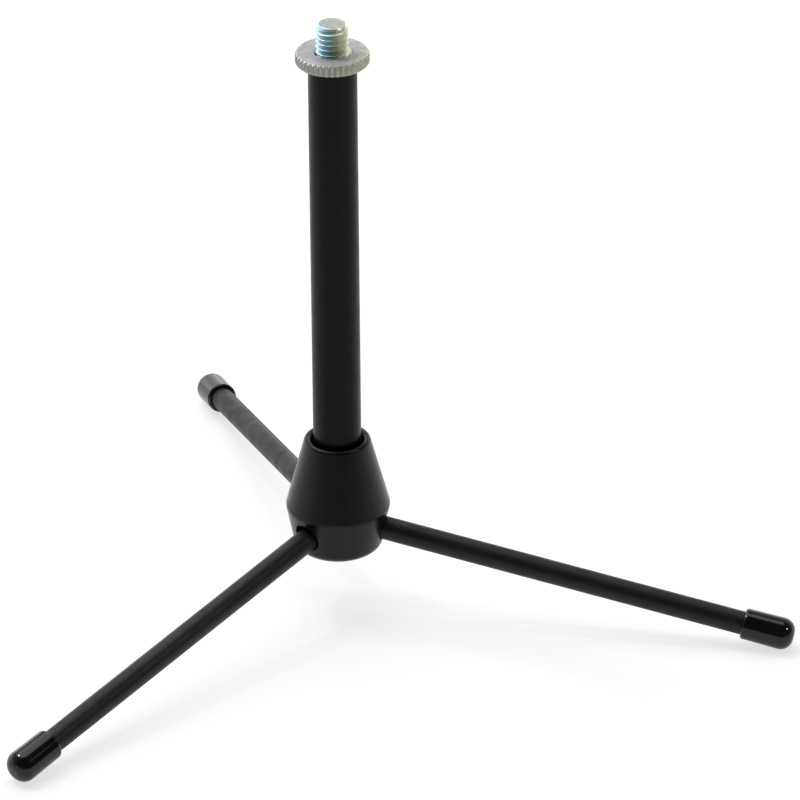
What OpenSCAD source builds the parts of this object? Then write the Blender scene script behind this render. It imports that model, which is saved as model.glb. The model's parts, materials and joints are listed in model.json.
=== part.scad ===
// Desktop microphone stand: an upright tube with a threaded stud on top and a
// hub with three screw-in legs below.
// Millimetres, +Z up. The origin is on the tube's axis, at the floor.

/* [Column] */
// Outside diameter of the tube
tube_d = 14.2; // [12:0.1:20]
// Wall thickness of the tube
tube_wall = 1.2; // [0.8:0.1:2.5]
// Height of the tube's top end above the floor
tube_top_z = 178.2; // [120:0.5:400]
// Bevel on the outer edge of the tube's top end
tube_bevel = 0.3; // [0.1:0.1:0.8]

/* [Microphone thread] */
// Major diameter of the thread (3/8 inch)
thread_d = 9.525; // [6.35:0.005:15.875]
// Pitch of the thread (16 per inch)
thread_pitch = 1.5875; // [0.94:0.0005:2.2]
// Height of the stud above the tube
stud_l = 12.2; // [8:0.1:20]
// Height of the bevel at the stud's tip
stud_bevel = 1.1; // [0.5:0.1:2]
// Number of turns next to the tube that are turned down
relief_turns = 2; // [0:1:4]
// How much smaller those turns are in radius
relief = 0.2; // [0:0.05:0.5]
// Length of the stud's shank inside the tube
shank_l = 12; // [8:0.5:20]

/* [Lock ring] */
// Outside diameter of the ring
ring_d = 21.4; // [16:0.1:30]
// Thickness of the ring
ring_h = 3.4; // [2:0.1:8]
// Number of grooves around the rim
ring_grooves = 40; // [24:1:60]
// Radius of each groove
ring_groove_r = 0.75; // [0.4:0.05:1.2]
// Distance of each groove's axis outside the rim
ring_groove_out = 0.2; // [0.1:0.05:0.6]
// Bevel on both edges of the rim
ring_bevel = 0.55; // [0.2:0.05:1]
// Radial gap between the thread and the ring's bore
ring_play = 0.04; // [0.02:0.01:0.1]
// Depth of the countersink at both ends of the bore
ring_sink = 0.7; // [0.3:0.1:1.2]

/* [Legs] */
// Diameter of the leg rods
leg_d = 7; // [5:0.1:10]
// Slope of the legs below the horizontal, in degrees
leg_tilt = 10.7; // [0:0.1:25]
// Distance of the leg tips from the tube's axis
foot_r = 137.1; // [100:0.5:220]
// Distance from the tube's axis of the seat that a leg is screwed against
seat_r = 11.3; // [10:0.1:12]
// Radius of the leg's flat end at the seat
leg_end_r = 2.7; // [2.6:0.1:3.3]
// Length over which the leg narrows to its flat end
leg_end_l = 2.6; // [0.5:0.1:3]
// Diameter of the threaded neck
neck_d = 5; // [3:0.5:6]
// Length of the threaded neck
neck_l = 7; // [4:0.1:8]
// Radial gap between the neck and its hole
neck_play = 0.05; // [0.02:0.01:0.1]

/* [Foot caps] */
// Outside diameter of the caps at the closed end
cap_d = 9.6; // [8:0.1:14]
// Outside diameter of the caps at the open lip
cap_lip_d = 9.3; // [8:0.1:14]
// Length of the caps
cap_l = 15.5; // [8:0.5:30]
// Thickness of the closed end
cap_end = 2.4; // [1:0.1:4]
// Rounding of the closed end
cap_round = 3.8; // [1:0.1:4.4]
// Rounding of the outer edge of the open lip
cap_lip_round = 0.85; // [0.3:0.05:1]
// Bevel on the inner edge of the open lip
cap_lip_bevel = 0.25; // [0.1:0.05:0.3]

/* [Hub] */
// Height of the hub's underside above the floor
hub_bottom_z = 20.35; // [15:0.05:40]
// Height of the joint between the bottom plate and the shell
plate_top_z = 22; // [21.5:0.1:23]
// Height of the shoulder between the lower band and the cone
shoulder_z = 34.4; // [30:0.1:45]
// Radius at the shoulder, before rounding
shoulder_r = 15.45; // [13:0.05:20]
// Height of the shell's top rim
rim_z = 56.4; // [50:0.1:75]
// Outside radius of the rim
rim_r = 9.9; // [9:0.1:13]
// Inside radius of the rim
rim_bore_r = 7.8; // [7.4:0.1:8.6]
// Inward slope of the lower band, per unit of height
band_slope = 0.19; // [0:0.01:0.4]
// Rounding of the shoulder
shoulder_round = 2.5; // [0.5:0.1:5]
// Rounding of the bottom plate's edge
plate_round = 3.2; // [1:0.1:4]
// Radius of the round holes in the shell for the legs
hole_r = 4.4; // [4:0.1:5]
// Gap below a leg at the bottom of its hole
hole_gap = 0.15; // [0.1:0.05:0.5]

/* [Hub core] */
// Radius of the core's lower part
core_r = 11.8; // [11:0.1:12]
// Radius of the core's socket for the tube
socket_r = 9.5; // [8.5:0.1:10.5]
// Height of the top of the core's lower part
core_step_z = 36; // [34:0.1:38]
// Height of the socket's top
socket_top_z = 48; // [40:0.5:54]
// Height of the socket's floor
socket_floor_z = 35.5; // [34:0.1:40]
// Free depth past the end of a leg's neck
neck_room = 0.5; // [0.2:0.1:0.8]

/* [Clamp screw] */
// Diameter of the screw
screw_d = 4; // [3:0.5:6]
// Length of the screw below its head
screw_l = 25; // [16:1:40]
// Diameter of the head
screw_head_d = 8; // [6:0.1:8.6]
// Height of the head
screw_head_h = 2.4; // [1.5:0.1:4]
// Width across the flats of the hexagon socket
screw_hex = 2.5; // [2:0.5:4]
// Outside diameter of the spring washer
washer_d = 7.6; // [6:0.1:8.6]
// Thickness of the spring washer
washer_h = 0.9; // [0.5:0.1:1.5]
// Length of the threaded plug in the tube's lower end
plug_l = 10; // [6:0.5:20]

/* [Hidden] */
$fn = 96;

// Azimuths of the legs
front_left = 210;
front_right = -30;
back = 90;

// Small clearances: past a cut face, and between parts that rest on each other
past = 1;
rest_gap = 0.02;
fit_gap = 0.1;

tube_r = tube_d / 2;
bore_r = tube_r - tube_wall;

// Thread form: 60 degree flanks, flats of an eighth of the pitch
thread_r = thread_d / 2;
thread_depth = 0.6134 * thread_pitch;
thread_flat = thread_pitch / 8;
stud_top_z = tube_top_z + stud_l;
stud_tip_r = thread_r - 0.8 * stud_bevel;
thread_first_z = tube_top_z + 0.7;
thread_turns = floor((stud_top_z - stud_bevel - thread_first_z) / thread_pitch);

ring_z = tube_top_z + rest_gap;
ring_r = ring_d / 2;
ring_bore_r = thread_r + ring_play;

leg_r = leg_d / 2;
cap_r = cap_d / 2;
cap_lip_r = cap_lip_d / 2;
// Height of the cap's tip above the floor when its rounded edge touches the floor
tip_z = cap_round + (cap_r - cap_round) * cos(leg_tilt) - cap_round * sin(leg_tilt);
seat_z = tip_z + (foot_r - seat_r) * tan(leg_tilt);
reach = (foot_r - seat_r) / cos(leg_tilt);
rod_l = reach - cap_end;
neck_r = neck_d / 2;
neck_bevel = 0.4;

cone_angle = atan((shoulder_r - rim_r) / (rim_z - shoulder_z));
band_angle = atan(band_slope);
rim_round = (rim_r - rim_bore_r) / 2;
shell_bore_r = core_r + fit_gap;
plate_corner_z = hub_bottom_z + plate_round;
plate_corner_r = shoulder_r - band_slope * (shoulder_z - plate_corner_z)
    - plate_round / cos(band_angle);
washer_z = hub_bottom_z - washer_h;

black_paint = "#17181a";
black_plastic = "#1c1d20";
black_rubber = "#101112";
zinc_plate = "#a9adab";
plain_steel = "#84878a";

// Points on an arc in a lathe profile
function arc(centre, r, from, to, steps = 10) = [
    for (i = [0:steps])
        centre + r * [cos(from + (to - from) * i / steps), sin(from + (to - from) * i / steps)]
];

// Radius of the hub's lower band at a height
function band_r(z) = shoulder_r - band_slope * (shoulder_z - z);

// Centre of a rounding of radius r at the shoulder
function shoulder_centre(r) = [shoulder_r, shoulder_z]
    - r / cos((cone_angle + band_angle) / 2)
    * [cos((cone_angle - band_angle) / 2), sin((cone_angle - band_angle) / 2)];

// Height of a leg's lowest line where it leaves the shell, and of its hole's axis
leg_under_z = seat_z - (band_r(plate_corner_z) - seat_r) * tan(leg_tilt)
    - leg_r / cos(leg_tilt);
hole_z = leg_under_z - hole_gap + hole_r;

// A round solid between two heights
module ring_of(outer_r, inner_r, low_z, high_z) {
    translate([0, 0, low_z]) {
        difference() {
            cylinder(r = outer_r, h = high_z - low_z);
            translate([0, 0, -past])
                cylinder(r = inner_r, h = high_z - low_z + 2 * past);
        }
    }
}

// Frame of a leg: origin at the seat, +X along the leg towards its foot
module leg_frame(azimuth) {
    rotate([0, 0, azimuth])
        translate([seat_r, 0, seat_z])
            rotate([0, leg_tilt, 0])
                children();
}

// A level round hole for a leg, through the shell only
module leg_hole_cut(azimuth) {
    rotate([0, 0, azimuth])
        translate([socket_r + fit_gap, 0, hole_z])
            rotate([0, 90, 0])
                cylinder(r = hole_r, h = shoulder_r);
}

// Tapped hole and flat seat for a leg, both square to the sloping leg
module leg_seat_cut(azimuth) {
    leg_frame(azimuth)
        rotate([0, 90, 0]) {
            translate([0, 0, -neck_l - neck_room])
                cylinder(r = neck_r + neck_play, h = neck_l + neck_room + past);
            cylinder(r = leg_r + fit_gap, h = core_r);
        }
}

module column_tube() {
    color(black_paint)
        rotate_extrude()
            polygon([
                [bore_r, socket_floor_z],
                [tube_r, socket_floor_z],
                [tube_r, tube_top_z - tube_bevel],
                [tube_r - tube_bevel, tube_top_z],
                [bore_r, tube_top_z]
            ]);
}

// Threaded stud with a plain shank. Each turn of the thread is a closed groove
module thread_stud() {
    root_r = thread_r - thread_depth;
    flank_z = (thread_pitch - 2 * thread_flat) / 2;
    grooves = [
        for (i = [0:thread_turns - 1])
            let (
                z = thread_first_z + i * thread_pitch,
                crest_r = i < relief_turns ? thread_r - relief : thread_r
            )
                each [
                    [crest_r, z],
                    [crest_r, z + thread_flat],
                    [root_r, z + thread_flat + flank_z],
                    [root_r, z + 2 * thread_flat + flank_z]
                ]
    ];
    last_z = thread_first_z + thread_turns * thread_pitch;
    color(zinc_plate)
        rotate_extrude()
            polygon(concat(
                [
                    [0, tube_top_z - shank_l],
                    [bore_r, tube_top_z - shank_l],
                    [bore_r, tube_top_z],
                    [root_r, tube_top_z],
                    [root_r, thread_first_z - flank_z]
                ],
                grooves,
                [
                    [thread_r, last_z],
                    [thread_r, stud_top_z - stud_bevel],
                    [stud_tip_r, stud_top_z],
                    [0, stud_top_z]
                ]
            ));
}

// Knurled ring that locks the microphone clip on the thread
module lock_ring() {
    top_z = ring_z + ring_h;
    color(zinc_plate)
        difference() {
            rotate_extrude()
                polygon([
                    [ring_bore_r + ring_sink, ring_z],
                    [ring_r - ring_bevel, ring_z],
                    [ring_r, ring_z + ring_bevel],
                    [ring_r, top_z - ring_bevel],
                    [ring_r - ring_bevel, top_z],
                    [ring_bore_r + ring_sink, top_z],
                    [ring_bore_r, top_z - ring_sink],
                    [ring_bore_r, ring_z + ring_sink]
                ]);
            for (i = [0:ring_grooves - 1])
                rotate([0, 0, i * 360 / ring_grooves])
                    translate([ring_r + ring_groove_out, 0, ring_z - past])
                        cylinder(r = ring_groove_r, h = ring_h + 2 * past, $fn = 32);
        }
}

// Threaded insert in the tube's lower end that takes the clamp screw
module tube_plug() {
    color(plain_steel)
        ring_of(bore_r, screw_d / 2, socket_floor_z, socket_floor_z + plug_l);
}

// Moulded bell over the core
module hub_shell() {
    rim_c = [rim_bore_r + rim_round, rim_z - rim_round];
    corner = shoulder_centre(shoulder_round);
    edge_c = [plate_corner_r, plate_corner_z];
    split = -asin((plate_corner_z - plate_top_z) / plate_round);
    color(black_plastic)
        difference() {
            rotate_extrude()
                polygon(concat(
                    [[shell_bore_r, plate_top_z]],
                    arc(edge_c, plate_round, split, -band_angle, 8),
                    arc(corner, shoulder_round, -band_angle, cone_angle, 6),
                    arc(rim_c, rim_round, cone_angle, 180, 16),
                    [
                        [rim_bore_r, socket_top_z + fit_gap],
                        [socket_r + fit_gap, socket_top_z + fit_gap],
                        [socket_r + fit_gap, core_step_z],
                        [shell_bore_r, core_step_z]
                    ]
                ));
            leg_hole_cut(front_left);
            leg_hole_cut(front_right);
            leg_hole_cut(back);
        }
}

// Core: socket for the tube above, a tapped hole for each leg below
module hub_core() {
    color(black_paint)
        difference() {
            rotate_extrude()
                polygon([
                    [screw_d / 2 + fit_gap, plate_top_z],
                    [core_r, plate_top_z],
                    [core_r, core_step_z],
                    [socket_r, core_step_z],
                    [socket_r, socket_top_z],
                    [tube_r, socket_top_z],
                    [tube_r, socket_floor_z],
                    [screw_d / 2 + fit_gap, socket_floor_z]
                ]);
            leg_seat_cut(front_left);
            leg_seat_cut(front_right);
            leg_seat_cut(back);
        }
}

// Round-edged plate that closes the hub from below
module bottom_plate() {
    corner = [plate_corner_r, plate_corner_z];
    split = -asin((plate_corner_z - plate_top_z) / plate_round);
    color(black_plastic)
        rotate_extrude()
            polygon(concat(
                [[screw_d / 2 + fit_gap, hub_bottom_z]],
                arc(corner, plate_round, -90, split, 8),
                [[screw_d / 2 + fit_gap, plate_top_z]]
            ));
}

// Button-head screw that pulls the plate and the core up to the tube
module clamp_screw() {
    head_round = screw_head_h * 0.8;
    head_r = screw_head_d / 2;
    head_c = [head_r - head_round, washer_z - screw_head_h + head_round];
    color(plain_steel)
        difference() {
            rotate_extrude()
                polygon(concat(
                    [[0, washer_z - screw_head_h]],
                    arc(head_c, head_round, -90, 0, 8),
                    [
                        [head_r, washer_z],
                        [screw_d / 2, washer_z],
                        [screw_d / 2, washer_z + screw_l - screw_d / 8],
                        [screw_d / 2 - screw_d / 8, washer_z + screw_l],
                        [0, washer_z + screw_l]
                    ]
                ));
            translate([0, 0, washer_z - screw_head_h - past])
                cylinder(d = screw_hex / cos(30), h = past + screw_head_h * 0.65, $fn = 6);
        }
}

// Split washer between the screw's head and the plate
module spring_washer() {
    split_w = 0.5;
    color(plain_steel)
        difference() {
            ring_of(washer_d / 2, screw_d / 2 + fit_gap, washer_z, hub_bottom_z);
            translate([0, -split_w / 2, washer_z - past])
                cube([washer_d, split_w, washer_h + 2 * past]);
        }
}

// Leg rod: threaded neck at the hub, square end inside the cap
module leg(azimuth) {
    narrowing = [
        for (a = [0:10:90])
            [leg_end_r + (leg_r - leg_end_r) * sin(a), leg_end_l * (1 - cos(a))]
    ];
    color(black_paint)
        leg_frame(azimuth)
            rotate([0, 90, 0])
                rotate_extrude()
                    polygon(concat(
                        [
                            [0, -neck_l],
                            [neck_r - neck_bevel, -neck_l],
                            [neck_r, -neck_l + neck_bevel],
                            [neck_r, 0]
                        ],
                        narrowing,
                        [[leg_r, rod_l], [0, rod_l]]
                    ));
}

// Soft sleeve with a closed end, pushed over a leg
module foot_cap(azimuth) {
    color(black_rubber)
        leg_frame(azimuth)
            translate([reach, 0, 0])
                rotate([0, 90, 0])
                    rotate_extrude()
                        polygon(concat(
                            [
                                [0, -cap_end],
                                [leg_r, -cap_end],
                                [leg_r, -cap_l + cap_lip_bevel],
                                [leg_r + cap_lip_bevel, -cap_l]
                            ],
                            arc([cap_lip_r - cap_lip_round, -cap_l + cap_lip_round],
                                cap_lip_round, -90, 0, 6),
                            arc([cap_r - cap_round, -cap_round], cap_round, 0, 90, 10),
                            [[0, 0]]
                        ));
}

module leg_front_left() { leg(front_left); }
module leg_front_right() { leg(front_right); }
module leg_back() { leg(back); }
module foot_cap_front_left() { foot_cap(front_left); }
module foot_cap_front_right() { foot_cap(front_right); }
module foot_cap_back() { foot_cap(back); }

column_tube();
thread_stud();
lock_ring();
tube_plug();
hub_shell();
hub_core();
bottom_plate();
clamp_screw();
spring_washer();
leg_front_left();
leg_front_right();
leg_back();
foot_cap_front_left();
foot_cap_front_right();
foot_cap_back();
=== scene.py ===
import json
import math

import bpy
from mathutils import Matrix, Vector


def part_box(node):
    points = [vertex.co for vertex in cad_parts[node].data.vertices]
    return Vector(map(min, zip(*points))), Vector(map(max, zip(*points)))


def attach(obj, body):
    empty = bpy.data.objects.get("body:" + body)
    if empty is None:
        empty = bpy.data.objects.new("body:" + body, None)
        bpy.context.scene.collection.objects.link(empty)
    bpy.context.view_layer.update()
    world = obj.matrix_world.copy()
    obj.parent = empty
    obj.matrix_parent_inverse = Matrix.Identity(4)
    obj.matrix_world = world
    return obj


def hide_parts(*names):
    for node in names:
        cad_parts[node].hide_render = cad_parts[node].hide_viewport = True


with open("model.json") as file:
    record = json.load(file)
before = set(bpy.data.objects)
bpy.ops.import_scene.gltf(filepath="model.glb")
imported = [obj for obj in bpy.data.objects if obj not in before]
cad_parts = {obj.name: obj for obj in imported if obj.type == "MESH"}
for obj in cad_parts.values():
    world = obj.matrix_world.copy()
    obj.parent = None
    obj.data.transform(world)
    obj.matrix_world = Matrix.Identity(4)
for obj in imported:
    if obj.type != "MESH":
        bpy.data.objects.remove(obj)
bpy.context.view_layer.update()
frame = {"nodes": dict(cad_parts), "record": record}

nodes = frame["nodes"]
record = frame["record"]
scene = bpy.context.scene

MM = 0.001
FULL_TURN = 2.0 * math.pi
WHITE = (1.0, 1.0, 1.0)


# ---------------------------------------------------------------- node trees

class Nodes:
    """A node tree, with a short call for each kind of node used here."""

    def __init__(self, tree):
        self.tree = tree

    def add(self, kind, **values):
        node = self.tree.nodes.new(kind)
        for key, value in values.items():
            setattr(node, key, value)
        return node

    def feed(self, socket, value):
        """Sets an input from another node's output, a colour or a number."""
        if isinstance(value, bpy.types.NodeSocket):
            self.tree.links.new(value, socket)
        elif isinstance(value, tuple):
            socket.default_value = (*value, 1.0)
        else:
            socket.default_value = value

    def math(self, operation, a, b=None, clamp=False):
        node = self.add("ShaderNodeMath", operation=operation, use_clamp=clamp)
        self.feed(node.inputs[0], a)
        if b is not None:
            self.feed(node.inputs[1], b)
        return node.outputs[0]

    def span(self, value, start, end, lo=0.0, hi=1.0):
        """From lo to hi as the value goes from start to end."""
        node = self.add("ShaderNodeMapRange", clamp=True)
        for socket, item in zip(node.inputs, (value, start, end, lo, hi)):
            self.feed(socket, item)
        return node.outputs[0]

    def split(self, vector):
        """The X, Y and Z of a vector."""
        node = self.add("ShaderNodeSeparateXYZ")
        self.feed(node.inputs[0], vector)
        return node.outputs


class Surface(Nodes):
    """A material with one Principled shader. Noise sizes are in features per metre."""

    def __init__(self, name, colour, rough, metallic=0.0, spec=0.5):
        self.mat = bpy.data.materials.new(name)
        self.mat.use_nodes = True
        super().__init__(self.mat.node_tree)
        self.tree.nodes.clear()
        self.shader = self.add("ShaderNodeBsdfPrincipled")
        output = self.add("ShaderNodeOutputMaterial")
        self.feed(output.inputs[0], self.shader.outputs[0])
        self.to("Base Color", colour)
        self.to("Roughness", rough)
        self.to("Metallic", metallic)
        self.to("Specular IOR Level", spec)
        self.place = self.add("ShaderNodeTexCoord").outputs["Object"]
        self.x, self.y, self.z = self.split(self.place)

    def to(self, socket, value):
        self.feed(self.shader.inputs[socket], value)

    def noise(self, size, detail=3.0, rough=0.55, place=None, distortion=0.0):
        node = self.add("ShaderNodeTexNoise")
        node.inputs["Scale"].default_value = size
        node.inputs["Detail"].default_value = detail
        node.inputs["Roughness"].default_value = rough
        node.inputs["Distortion"].default_value = distortion
        self.feed(node.inputs["Vector"], place or self.place)
        return node.outputs["Fac"]

    def stretched(self, scale):
        """The object coordinate, scaled along each axis."""
        node = self.add("ShaderNodeMapping")
        node.inputs["Scale"].default_value = scale
        self.feed(node.inputs["Vector"], self.place)
        return node.outputs["Vector"]

    def ramp(self, value, stops):
        """A colour that follows (position, colour) stops."""
        node = self.add("ShaderNodeValToRGB")
        elements = node.color_ramp.elements
        while len(elements) < len(stops):
            elements.new(0.5)
        for element, (position, colour) in zip(elements, stops):
            element.position = position
            element.color = (*colour, 1.0)
        self.feed(node.inputs[0], value)
        return node.outputs["Color"]

    def mix(self, amount, a, b, blend="MIX"):
        node = self.add("ShaderNodeMix", data_type="RGBA", blend_type=blend)
        colour_a, colour_b, colour_out = 6, 7, 2
        for socket, value in ((0, amount), (colour_a, a), (colour_b, b)):
            self.feed(node.inputs[socket], value)
        return node.outputs[colour_out]

    def bump(self, height, strength, distance, normal=None):
        node = self.add("ShaderNodeBump")
        node.inputs["Strength"].default_value = strength
        node.inputs["Distance"].default_value = distance
        self.feed(node.inputs["Height"], height)
        if normal is not None:
            self.feed(node.inputs["Normal"], normal)
        return node.outputs["Normal"]

    def radius(self):
        """Distance from the Z axis."""
        squares = [self.math("MULTIPLY", v, v) for v in (self.x, self.y)]
        return self.math("SQRT", self.math("ADD", *squares))

    def lathe_marks(self, per_metre):
        """Noise that runs in circles round the Z axis, as turning marks do."""
        node = self.add("ShaderNodeTexNoise", noise_dimensions="1D")
        node.inputs["Scale"].default_value = 1.0
        node.inputs["Detail"].default_value = 2.0
        along = self.math("ADD", self.radius(), self.z)
        self.feed(node.inputs["W"], self.math("MULTIPLY", along, per_metre))
        return node.outputs["Fac"]

    def upward(self, start, end, lo=0.0, hi=1.0):
        """A span of the normal's Z, which is 0 on an upright face and 1 on a level top."""
        normal = self.add("ShaderNodeNewGeometry").outputs["Normal"]
        return self.span(self.split(normal)[2], start, end, lo, hi)


def scaled(colour, factor):
    return tuple(part * factor for part in colour)


# ---------------------------------------------------------------- materials

FLECK_COLOUR = (0.05, 0.05, 0.05)
DUST_COLOUR = (0.16, 0.155, 0.145)


def coat(name, colour, rough, spec, peel, peel_size, haze=0.0, dust=0.0, fleck=0.0, cast=WHITE):
    """Black paint or plastic: uneven tone, orange peel, hairline scratches and a little dust."""
    s = Surface(name, colour, rough, spec=spec)
    s.to("Specular Tint", cast)

    base = s.ramp(s.noise(70, detail=4), [(0.3, scaled(colour, 0.7)), (0.7, scaled(colour, 1.4))])
    flecks = s.span(s.noise(1900, detail=2, rough=0.7), 0.70, 0.78)
    base = s.mix(s.math("MULTIPLY", flecks, fleck), base, FLECK_COLOUR)
    drifts = s.span(s.noise(160, detail=5, rough=0.7), 0.35, 0.75)
    settled = s.math("MULTIPLY", s.upward(0.0, 1.0, lo=0.55), drifts)
    s.to("Base Color", s.mix(s.math("MULTIPLY", settled, dust), base, DUST_COLOUR))

    streaks = s.noise(60, rough=0.6, place=s.stretched((14.0, 14.0, 1.2)), distortion=0.6)
    scratches = s.span(streaks, 0.66, 0.72)
    handled = s.span(s.noise(240), 0.3, 0.7, lo=rough * 0.85, hi=rough * 1.2)
    s.to("Roughness", s.math("ADD", handled, s.math("MULTIPLY", scratches, haze)))

    coarse = s.bump(s.noise(peel_size, detail=2, rough=0.45), peel, 0.1 * MM)
    fine = s.bump(s.noise(peel_size * 4.1, detail=2, rough=0.5), peel * 0.5, 0.04 * MM, coarse)
    s.to("Normal", s.bump(scratches, 0.06, 0.04 * MM, fine))
    return s.mat


BAND_DRIFT = 3.0 * MM
RIM_R = 10.7 * MM
# How much level tops take their darker, untinted colour (painted shade), and how much rougher they
# get.
TOP_SHADE_AMOUNT, LEVEL_ROUGHER = 0.85, 0.38
STAIN_SHADE = (0.72, 0.72, 0.72)


def metal(name, bands, top_shade_colour, rough, marks, painted_wall_shade=WHITE):
    """Plated steel: bands of tint (x in mm, colour), turning marks and faint stains.

    Further out than the bands, the tint runs evenly from the first one's colour to the last
    one's. Faces that look straight up are rougher and take a darker, untinted colour: painted
    shade. Walls take painted shade too, their tint multiplied by a darker colour.
    """
    s = Surface(name, top_shade_colour, rough, metallic=1.0)
    half = bands[-1][0] * MM
    cloud = s.noise(420, rough=0.6)
    level = s.upward(0.90, 0.99)

    across = s.span(s.x, -half, half)
    drift = s.math("MULTIPLY", s.math("SUBTRACT", cloud, 0.5), BAND_DRIFT / (2 * half))
    where = s.math("ADD", across, drift, clamp=True)
    tint = s.ramp(where, [(0.5 + x * MM / (2 * half), colour) for x, colour in bands])
    outer = s.ramp(s.span(s.x, -RIM_R, RIM_R), [(0.0, bands[0][1]), (1.0, bands[-1][1])])
    tint = s.mix(s.span(s.radius(), half, half + MM), tint, outer)
    # Painted shade: upright faces have their tint multiplied by a darker colour.
    tint = s.mix(s.upward(0.05, 0.35, lo=1.0, hi=0.0), tint, painted_wall_shade, "MULTIPLY")
    # Painted shade: level tops take a darker, untinted colour over the tint.
    painted_top_shade = s.ramp(cloud, [(0.3, scaled(top_shade_colour, 0.93)), (0.7, scaled(top_shade_colour, 1.07))])
    tint = s.mix(s.math("MULTIPLY", level, TOP_SHADE_AMOUNT), tint, painted_top_shade)
    stains = s.span(s.noise(620, rough=0.5), 0.45, 0.85, hi=0.3)
    s.to("Base Color", s.mix(stains, tint, STAIN_SHADE, "MULTIPLY"))

    grain = s.span(s.noise(700, detail=4), 0.3, 0.7, lo=rough - 0.08, hi=rough + 0.12)
    s.to("Roughness", s.math("ADD", grain, s.math("MULTIPLY", level, LEVEL_ROUGHER)))
    lathe = s.bump(s.lathe_marks(9000.0), marks, 0.03 * MM)
    s.to("Normal", s.bump(s.noise(2500), 0.12, 0.03 * MM, lathe))
    return s.mat


# Passivation tints across the stud: grey, blue, pale green, beige, olive
ZINC_BANDS = [
    (-5.2, (0.68, 0.71, 0.72)),
    (-4.2, (0.58, 0.80, 0.90)),
    (-1.7, (0.56, 0.80, 0.86)),
    (-0.5, (0.72, 0.86, 0.62)),
    (0.8, (0.96, 0.97, 0.74)),
    (4.0, (0.94, 0.96, 0.78)),
    (5.2, (0.80, 0.83, 0.62)),
]
STEEL_BANDS = [
    (-4.0, (0.36, 0.37, 0.39)),
    (0.0, (0.42, 0.42, 0.43)),
    (4.0, (0.46, 0.44, 0.41)),
]

MATS = {
    "black_powder_coat": coat(
        "black_powder_coat", (0.0022, 0.0022, 0.0025), rough=0.33, spec=0.115,
        peel=0.08, peel_size=1400, haze=0.10, dust=0.03, fleck=0.04),
    "black_leg_paint": coat(
        "black_leg_paint", (0.0092, 0.0092, 0.0095), rough=0.45, spec=0.25,
        peel=0.04, peel_size=1100, haze=0.03, dust=0.02, fleck=0.03),
    "black_casting": coat(
        "black_casting", (0.006, 0.006, 0.006), rough=0.55, spec=0.3,
        peel=0.4, peel_size=2500, dust=0.02),
    "black_moulding": coat(
        "black_moulding", (0.0026, 0.0028, 0.0036), rough=0.27, spec=0.24,
        peel=0.05, peel_size=2600, haze=0.06, dust=0.02, cast=(0.88, 0.92, 1.0)),
    "black_cap": coat(
        "black_cap", (0.0040, 0.0040, 0.0036), rough=0.09, spec=0.34,
        peel=0.03, peel_size=300, haze=0.03, dust=0.02),
    "zinc_plate": metal(
        # Painted shade: the top colour is darker than the tint.
        "zinc_plate", ZINC_BANDS, top_shade_colour=(0.485, 0.49, 0.49), rough=0.40,
        # Painted shade: this colour darkens the upright faces.
        marks=0.20, painted_wall_shade=(0.51, 0.50, 0.47)),
    "plain_steel": metal(
        "plain_steel", STEEL_BANDS, top_shade_colour=(0.42, 0.42, 0.43), rough=0.32, marks=0.25),
}

for subpart in record["subparts"]:
    materials = nodes[subpart["node"]].data.materials
    materials.clear()
    materials.append(MATS[subpart["material_slot"]])


# ---------------------------------------------------------------- turned pieces

SHARP = math.radians(38)
RING_STEP = 0.1 * MM
TOUCH = 1e-9

# Shares of half a thread turn, and how much of the groove's depth is rounded
CREST_SHARE, FLANK_SHARE, ROUNDING = 0.125, 0.75, 0.35

# Room between a visible thread's crest and the crest radius in the CAD
SKIN = 0.01 * MM


def groove(phase):
    """Depth of a 60 degree thread at a phase in turns: 0 on the crest, 1 in the rounded root."""
    from_root = abs((phase % 1.0) - 0.5) * 2.0
    depth = min(max((1.0 - CREST_SHARE - from_root) / FLANK_SHARE, 0.0), 1.0)
    rounded = depth * depth * (3.0 - 2.0 * depth)
    return ROUNDING * rounded + (1.0 - ROUNDING) * depth


def turned(name, outline, steps, thread):
    """Turns (radius, height) points round Z, with a helical thread between two heights."""
    rings = []
    for (r0, z0), (r1, z1) in zip(outline, outline[1:]):
        inside = z0 >= thread["low"] - TOUCH and z1 <= thread["high"] + TOUCH
        threaded = inside and z1 > z0
        count = max(1, round((z1 - z0) / RING_STEP)) if threaded else 1
        for i in range(count):
            part = i / count
            rings.append((r0 + (r1 - r0) * part, z0 + (z1 - z0) * part, threaded))
    rings.append((*outline[-1], False))

    verts = []
    for ring_r, z, threaded in rings:
        for step in range(steps):
            turn = step / steps
            r = ring_r
            if threaded:
                fade = min(1.0, (z - thread["low"]) / thread["pitch"])
                cut = thread["depth"] * groove(z / thread["pitch"] - turn) * fade
                r = min(ring_r, thread["radius"] - cut)
            angle = FULL_TURN * turn
            verts.append((r * math.cos(angle), r * math.sin(angle), z))

    faces = []
    last_ring = len(verts) - steps
    for low_ring in range(0, last_ring, steps):
        high_ring = low_ring + steps
        for a in range(steps):
            b = (a + 1) % steps
            faces.append((low_ring + a, low_ring + b, high_ring + b, high_ring + a))
    faces.append(tuple(range(steps - 1, -1, -1)))
    faces.append(tuple(range(last_ring, len(verts))))

    mesh = bpy.data.meshes.new(name)
    mesh.from_pydata(verts, [], faces)
    mesh.validate()
    for polygon in mesh.polygons:
        polygon.use_smooth = True
    mesh.set_sharp_from_angle(angle=SHARP)
    piece = bpy.data.objects.new(name, mesh)
    scene.collection.objects.link(piece)
    return piece


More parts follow.
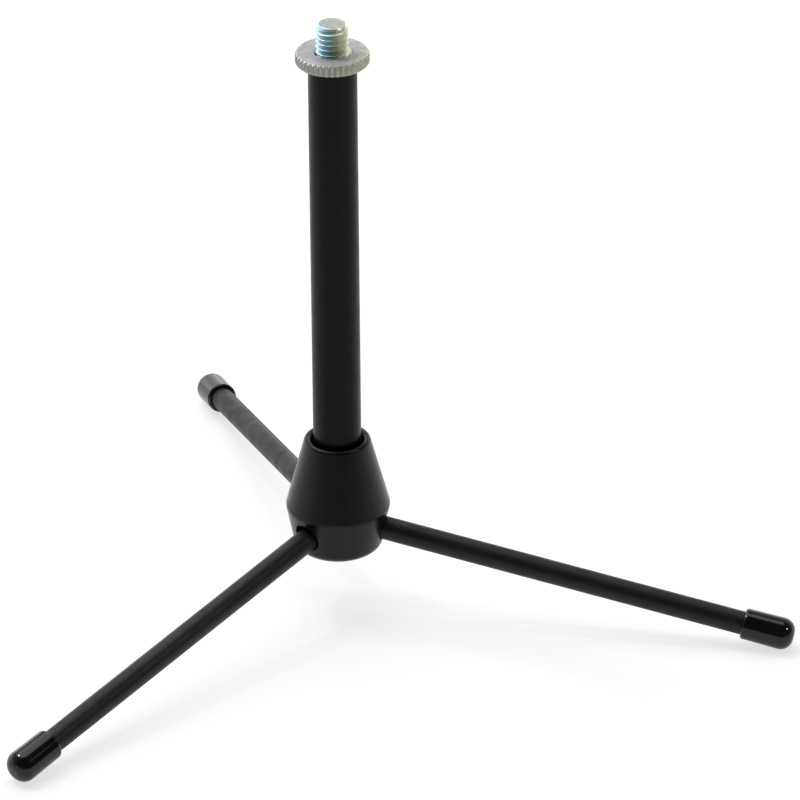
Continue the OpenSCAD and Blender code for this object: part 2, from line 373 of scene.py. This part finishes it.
def make_stud():
    """The stud's true helical thread, in the box of its CAD node."""
    low, high = (Vector(v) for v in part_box("thread_stud"))
    tube_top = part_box("column_tube")[1][2]
    shank_r = (high.x - low.x) / 2
    crest_r, pitch = 4.7625 * MM, 1.5875 * MM
    root_r = crest_r - 0.6134 * pitch
    bevel_h, tip_r, tip_edge = 1.1 * MM, 3.88 * MM, 0.18 * MM
    shank_bevel, shank_gap, root_room, run_in = 0.4 * MM, 0.05 * MM, 0.1 * MM, 0.4 * MM
    outline = [
        (shank_r - shank_bevel, low.z),
        (shank_r, low.z + shank_bevel),
        (shank_r, tube_top - shank_gap),
        (root_r + root_room, tube_top - shank_gap),
        (root_r + root_room, tube_top),
        (crest_r - SKIN, tube_top + run_in),
        (crest_r - SKIN, high.z - bevel_h),
        (tip_r + tip_edge, high.z - 1.3 * tip_edge),
        (tip_r + 0.4 * tip_edge, high.z - 0.35 * tip_edge),
        (tip_r - 0.5 * tip_edge, high.z),
    ]
    thread = {
        "low": tube_top, "high": high.z, "pitch": pitch,
        "depth": crest_r - root_r, "radius": crest_r - SKIN,
    }
    stud = turned("stud_thread", outline, 96, thread)
    stud.data.materials.append(MATS["zinc_plate"])
    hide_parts("thread_stud")
    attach(stud, "stand")


def make_legs():
    """Legs with an M5 thread on the neck, each in the box of its CAD node."""
    rod_r, seat_r, narrow_l = 3.5 * MM, 2.7 * MM, 2.6 * MM
    neck_r, neck_end_r, neck_l = 2.5 * MM, 2.1 * MM, 7.0 * MM
    neck_face_r, neck_face_h, neck_bevel = 1.8 * MM, 0.05 * MM, 0.45 * MM
    undercut_r, undercut_l, undercut_rise = 2.0 * MM, 0.7 * MM, 0.1 * MM
    neck_top = 0.02 * MM

    # The back leg lies in the YZ plane, so its box gives the seat and the length of all three
    joint = next(j for j in record["behaviour"]["joints"] if j["child"] == "leg_back")
    along = Vector(joint["axis"]).normalized()
    dip, run = -along.z, along.y
    low, high = (Vector(v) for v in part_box("leg_back"))
    rod_end = Vector((0, high.y - rod_r * dip, low.z + rod_r * run))
    rod_l = (rod_end.y - (low.y + neck_end_r * dip)) / run - neck_l
    seat = rod_end - along * rod_l
    across = Vector((1, 0, 0))
    leg_frame = Matrix((across, Vector((0, -dip, -run)), along)).transposed().to_4x4()

    outline = [
        (neck_face_r, -neck_l),
        (neck_end_r, -neck_l + neck_face_h),
        (neck_r - SKIN, -neck_l + neck_bevel),
        (neck_r - SKIN, -undercut_l),
        (undercut_r, -undercut_l + undercut_rise),
        (undercut_r, 0.0),
    ]
    for degrees in range(0, 91, 10):
        angle = math.radians(degrees)
        r = seat_r + (rod_r - seat_r) * math.sin(angle)
        outline.append((r, narrow_l * (1 - math.cos(angle))))
    rod_parts = 12
    for i in range(1, rod_parts + 1):
        outline.append((rod_r, narrow_l + (rod_l - narrow_l) * i / rod_parts))
    thread = {
        "low": -neck_l + neck_face_h, "high": -undercut_l, "pitch": 0.8 * MM,
        "depth": 0.46 * MM, "radius": neck_r - SKIN,
    }

    for leg_name, turn_from_back in (("front_left", 120.0), ("front_right", -120.0), ("back", 0.0)):
        piece = turned("leg_rod_" + leg_name, outline, 64, thread)
        piece.data.materials.append(MATS["black_leg_paint"])
        piece.data.materials.append(MATS["plain_steel"])
        for polygon in piece.data.polygons:
            polygon.material_index = 1 if polygon.center.z < neck_top else 0
        turn = Matrix.Rotation(math.radians(turn_from_back), 4, "Z")
        piece.data.transform(turn @ Matrix.Translation(seat) @ leg_frame)
        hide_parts("leg_" + leg_name)
        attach(piece, "leg_" + leg_name)


make_stud()
make_legs()


# ---------------------------------------------------------------- stage

def make_floor():
    """A pale floor that gives a little light, less towards the front and the far sides."""
    bpy.ops.mesh.primitive_plane_add(size=6)
    floor = bpy.context.object
    floor.name = "floor"
    s = Surface("floor_paper", (0.42, 0.42, 0.42), 0.9, spec=0.0)
    paper = [(0.3, (0.41, 0.41, 0.41)), (0.7, (0.43, 0.43, 0.43))]
    s.to("Base Color", s.ramp(s.noise(14), paper))
    s.to("Emission Color", WHITE)
    front_fade = s.span(s.y, -1.1, -0.30, lo=0.16, hi=0.68)
    side_fade = s.span(s.math("ABSOLUTE", s.x), 0.8, 2.8, lo=1.0, hi=0.62)
    s.to("Emission Strength", s.math("MULTIPLY", front_fade, side_fade))
    floor.data.materials.append(s.mat)


AIM = Vector((0, 0, 0.06))


def softbox(name, azimuth, elevation, distance, size, power):
    """A square soft light, in a direction from the stand and aimed at it."""
    light = bpy.data.lights.new(name, "AREA")
    light.shape = "RECTANGLE"
    light.size = light.size_y = size
    light.energy = power
    lamp = bpy.data.objects.new(name, light)
    scene.collection.objects.link(lamp)
    a, e = math.radians(azimuth), math.radians(elevation)
    way = Vector((math.cos(a) * math.cos(e), math.sin(a) * math.cos(e), math.sin(e)))
    lamp.location = AIM + way * distance
    lamp.rotation_mode = "QUATERNION"
    lamp.rotation_quaternion = way.to_track_quat("Z", "Y")


def make_world():
    """A white room: bright behind the stand, with a brighter strip low down, and dark in front."""
    world = bpy.data.worlds.new("studio")
    scene.world = world
    world.use_nodes = True
    w = Nodes(world.node_tree)
    background = world.node_tree.nodes["Background"]
    _, y, z = w.split(w.add("ShaderNodeTexCoord").outputs["Generated"])
    depth = w.span(y, -0.30, 0.45, lo=0.07)
    height = w.span(z, 0.1, 0.85, lo=1.0, hi=0.4)
    low_down = w.span(z, 0.12, 0.40, lo=1.9)
    behind = w.span(y, 0.3, 0.8)
    strip = w.math("ADD", w.math("MULTIPLY", w.math("SUBTRACT", low_down, 1.0), behind), 1.0)
    strength = w.math("MULTIPLY", w.math("MULTIPLY", depth, height), strip)
    w.feed(background.inputs["Strength"], strength)
    w.feed(background.inputs["Color"], WHITE)


def make_camera():
    """A long lens that looks down at the stand from the front left."""
    azimuth, elevation, roll = (math.radians(v) for v in (-17.833, 28.3712, -0.4307))
    distance, aside, above = 1.8315838, 0.0181039, 0.0605293
    focal_length_per_width = 7.660271875
    back = Vector((
        math.sin(azimuth) * math.cos(elevation),
        -math.cos(azimuth) * math.cos(elevation),
        math.sin(elevation),
    ))
    right = Vector((math.cos(azimuth), math.sin(azimuth), 0.0))
    up = back.cross(right)
    side = right * math.cos(roll) + up * math.sin(roll)
    top = up * math.cos(roll) - right * math.sin(roll)
    lens = bpy.data.cameras.new("camera")
    lens.sensor_width = 36.0
    lens.lens = lens.sensor_width * focal_length_per_width
    lens.clip_start, lens.clip_end = 0.1, 20.0
    camera = bpy.data.objects.new("camera", lens)
    scene.collection.objects.link(camera)
    place = Matrix((side, top, back)).transposed().to_4x4()
    place.translation = back * distance + side * aside + top * above
    camera.matrix_world = place
    scene.camera = camera


make_floor()
softbox("key_back", azimuth=105, elevation=68, distance=1.1, size=1.2, power=9.0)
softbox("lamp_right", azimuth=-38, elevation=38, distance=3.0, size=0.15, power=8.0)
softbox("lamp_left", azimuth=134, elevation=62, distance=3.0, size=0.15, power=9.0)
make_world()
make_camera()
scene.view_settings.view_transform = "Standard"
